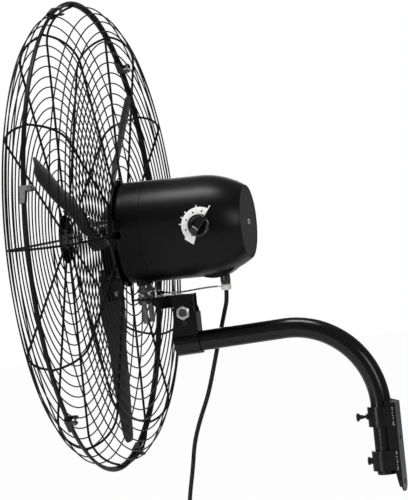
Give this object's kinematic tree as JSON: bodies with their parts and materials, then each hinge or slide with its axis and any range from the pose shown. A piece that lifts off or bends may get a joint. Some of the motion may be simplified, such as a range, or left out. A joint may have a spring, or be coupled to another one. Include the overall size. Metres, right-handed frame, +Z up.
{
  "type": "wall mounted fan",
  "caption": "Industrial wall fan: round wire cage and barrel motor, tilting on a bent tube arm that swivels in a wall channel, with a speed dial and mains cord.",
  "frame": {"origin": "middle of the wall channel's flat back face, which lies on the wall", "axes": "+Y into the wall, +Z up, -Y the way the fan blows, +X the side with the speed dial; the fan's axis is along Y"},
  "size_m": [0.8143, 0.5575, 1.0747],
  "materials": {
    "black_enamel": "satin black enamel",
    "cage_black": "satin black powder coat on wire",
    "cap_grey": "satin dark grey",
    "blade_grey": "satin dark grey",
    "zinc": "zinc plated",
    "dark_steel": "oiled steel thread",
    "black_screw": "black oxide",
    "grey_clip": "satin grey",
    "white_print": "printed white",
    "knob_black": "fine satin",
    "gland_black": "moulded",
    "clamp_white": "moulded",
    "cord_black": "satin jacket",
    "plug_black": "moulded",
    "tie_black": "strap",
    "pin_brass": "bright",
    "stack_steel": "laminated",
    "copper": "enamelled copper wire",
    "bearing_steel": "ground",
    "shaft_steel": "ground",
    "cast_alloy": "as cast",
    "can_plastic": "moulded"
  },
  "bodies": {
    "wall_bracket": {"wall_channel": "black_enamel", "upper_collar": "black_enamel", "lower_collar": "black_enamel"},
    "upper_clamp": {"upper_thumbscrew": "black_screw"},
    "lower_clamp": {"lower_thumbscrew": "black_screw"},
    "arm": {"arm_tube": "black_enamel", "arm_end_cap": "knob_black", "tilt_clevis": "black_enamel", "clevis_lock_screw": "black_screw", "tilt_bolt": "zinc", "tilt_nut": "zinc", "tilt_washers": "black_screw"},
    "head": {"neck_bracket": "black_enamel", "mounting_studs": "dark_steel", "stud_nuts": "zinc", "stud_washers": "zinc", "front_guard_spiral": "cage_black", "front_guard_side_spiral": "cage_black", "front_guard_ribs": "cage_black", "front_guard_badge": "black_enamel", "rear_guard_spiral": "cage_black", "rear_guard_side_spiral": "cage_black", "rear_guard_ribs": "cage_black", "rim_wires": "cage_black", "rim_clips": "grey_clip", "rim_clip_screws": "zinc", "guard_mount_plate": "black_enamel", "guard_mount_screws": "zinc", "front_bell": "black_enamel", "rear_shell": "black_enamel", "rear_cap": "cap_grey", "cap_screw": "zinc", "stator_core": "stack_steel", "stator_windings": "copper", "bearing_outer_races": "bearing_steel", "bearing_balls": "bearing_steel", "rear_end_shield": "cast_alloy", "tie_bolts": "zinc", "cover_post": "zinc", "run_capacitor": "can_plastic", "speed_switch": "can_plastic", "dial_scale": "white_print", "gland_saddle": "black_enamel", "cord_gland": "gland_black", "cord_clamp": "clamp_white", "tether_wire": "zinc", "supply_cord": "cord_black", "cord_coil": "cord_black", "coil_tie": "tie_black", "mains_plug": "plug_black", "plug_pins": "pin_brass"},
    "rotor": {"bearing_inner_races": "bearing_steel", "motor_shaft": "shaft_steel", "rotor_core": "stack_steel", "fan_hub": "black_enamel", "fan_blades": "blade_grey", "blade_rivets": "zinc", "shaft_nut": "zinc"},
    "dial_knob": {"speed_knob": "knob_black", "knob_spindle": "zinc"}
  },
  "joints": [
    {"name": "upper_clamp_screw", "type": "slide", "parent": "wall_bracket", "child": "upper_clamp", "axis": [0, -1, 0], "range_m": [-0.0006, 0.004]},
    {"name": "lower_clamp_screw", "type": "slide", "parent": "wall_bracket", "child": "lower_clamp", "axis": [0, -1, 0], "range_m": [0, 0.012]},
    {"name": "arm_swivel", "type": "hinge", "parent": "wall_bracket", "child": "arm", "pos_m": [0, -0.028, 0.0125], "axis": [0, 0, 1], "range_deg": [-45, 45]},
    {"name": "head_tilt", "type": "hinge", "parent": "arm", "child": "head", "pos_m": [0, -0.35, 0.257], "axis": [1, 0, 0], "range_deg": [-15, 30]},
    {"name": "fan_spin", "type": "hinge", "parent": "head", "child": "rotor", "pos_m": [0, -0.496, 0.401], "axis": [0, 1, 0], "continuous": true},
    {"name": "speed_dial", "type": "hinge", "parent": "head", "child": "dial_knob", "pos_m": [0.0862, -0.2898, 0.405], "axis": [-1, 0, 0], "range_deg": [0, 170]}
  ]
}
